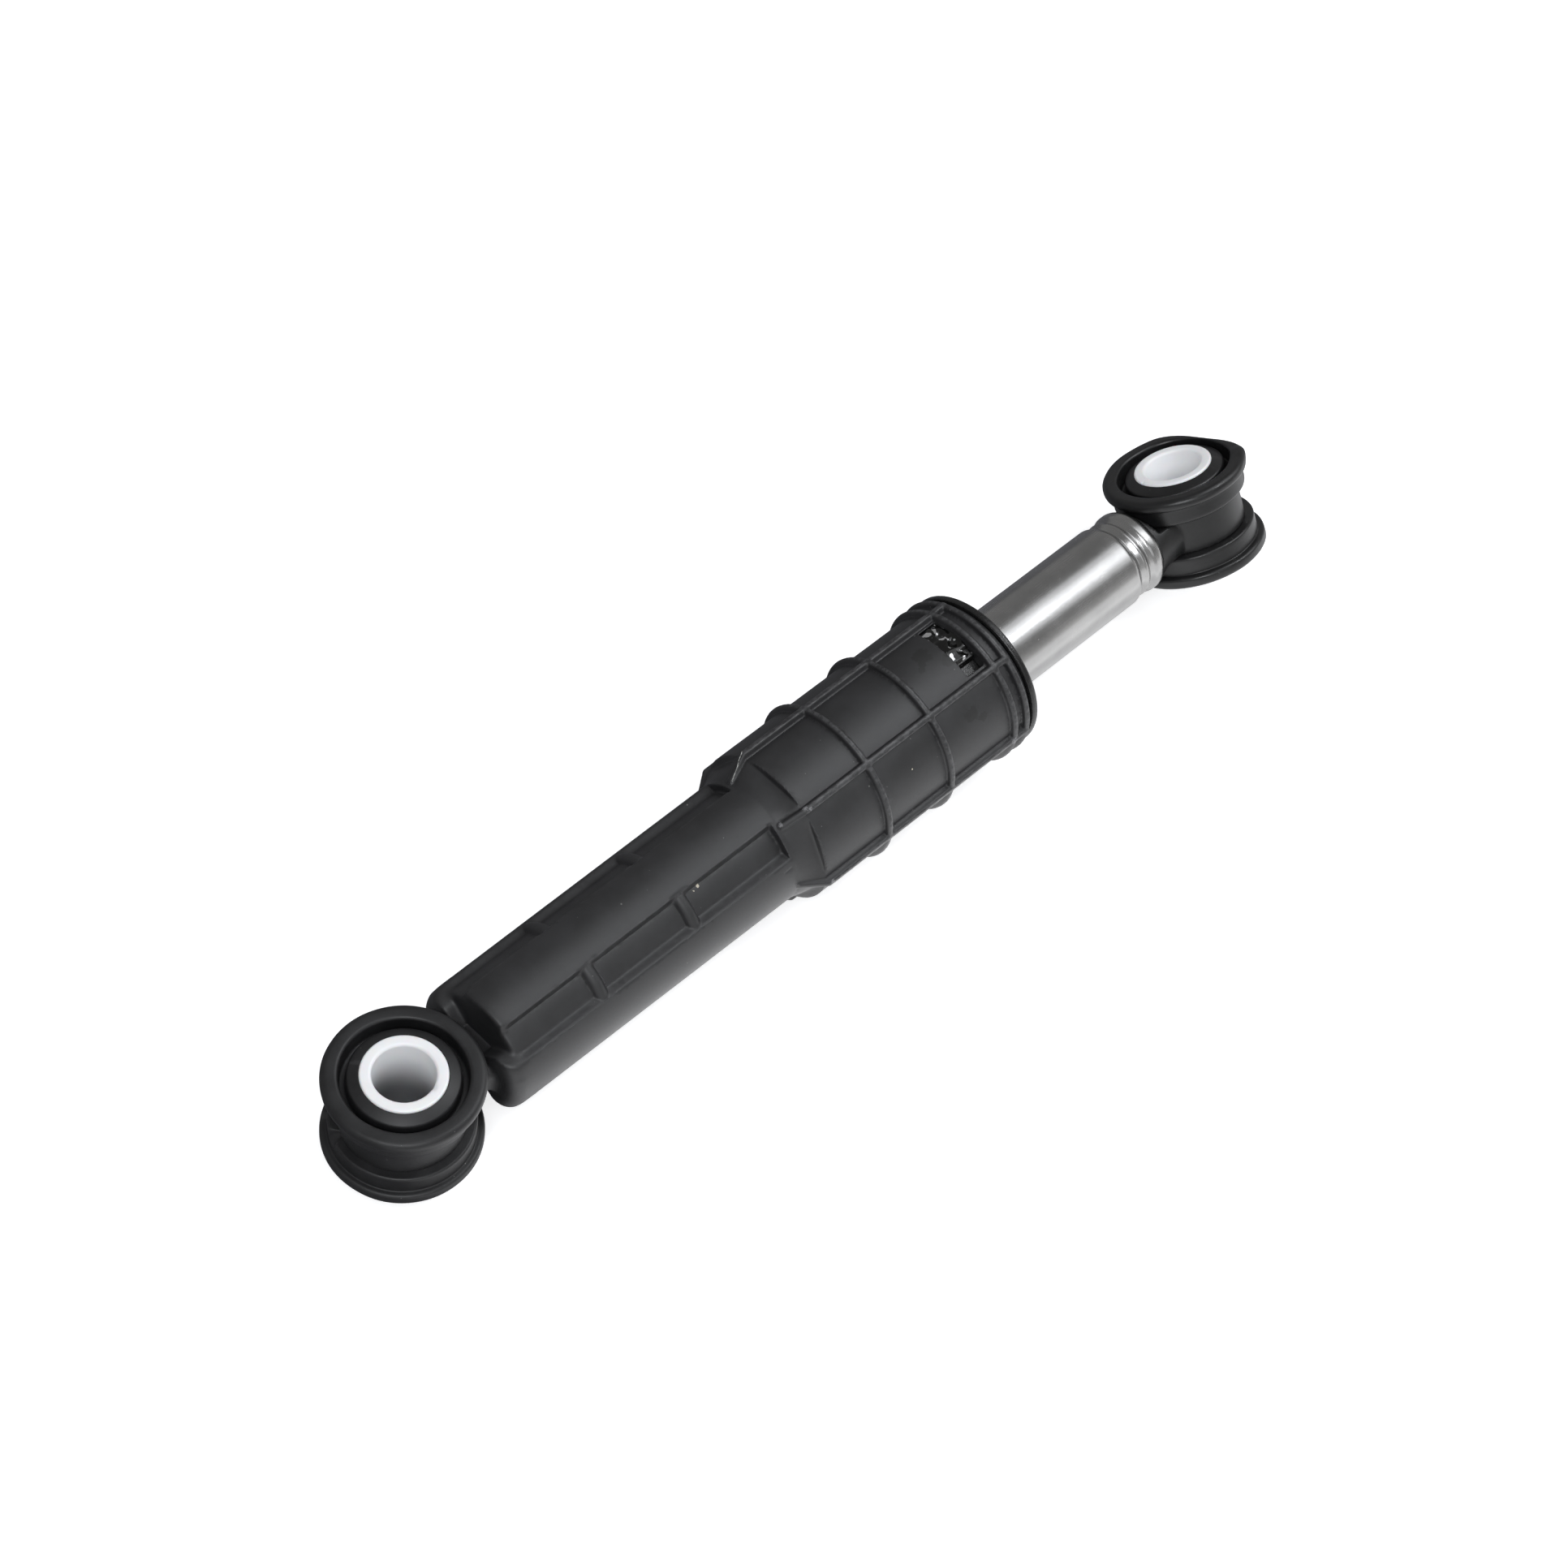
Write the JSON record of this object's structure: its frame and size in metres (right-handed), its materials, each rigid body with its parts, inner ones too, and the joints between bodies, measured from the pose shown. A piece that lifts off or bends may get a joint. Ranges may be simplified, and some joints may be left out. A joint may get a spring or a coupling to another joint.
{
  "type": "washing machine shock absorber",
  "caption": "Telescopic friction damper for a washing machine tub: ribbed black plastic barrel, steel rod, rubber-bushed eye with a white sleeve at each end.",
  "frame": {"origin": "centre of the lower eye's bore", "axes": "+X along the damper from the lower eye to the upper eye, +Z along the lower eye's bore"},
  "size_m": [0.2718, 0.0398, 0.0388],
  "materials": {
    "moulded_black": "satin moulded plastic",
    "eye_black": "smooth glossy moulding",
    "bush_rubber": "satin rubber",
    "sleeve_white": "smooth natural plastic",
    "rod_steel": "bright ground steel",
    "lining_foam": "grease-soaked foam"
  },
  "bodies": {
    "housing": {"housing": "moulded_black", "lower_bush": "bush_rubber", "lower_sleeve": "sleeve_white", "guide_cap": "moulded_black"},
    "lining": {"friction_lining": "lining_foam"},
    "rod": {"rod_tube": "rod_steel", "upper_eye": "eye_black", "upper_bush": "bush_rubber", "upper_sleeve": "sleeve_white"}
  },
  "joints": [
    {"name": "rod_turn", "type": "hinge", "parent": "housing", "child": "lining", "pos_m": [0.128, 0, 0], "axis": [1, 0, 0], "continuous": true},
    {"name": "rod_stroke", "type": "slide", "parent": "lining", "child": "rod", "axis": [1, 0, 0], "range_m": [-0.05, 0.03]}
  ]
}
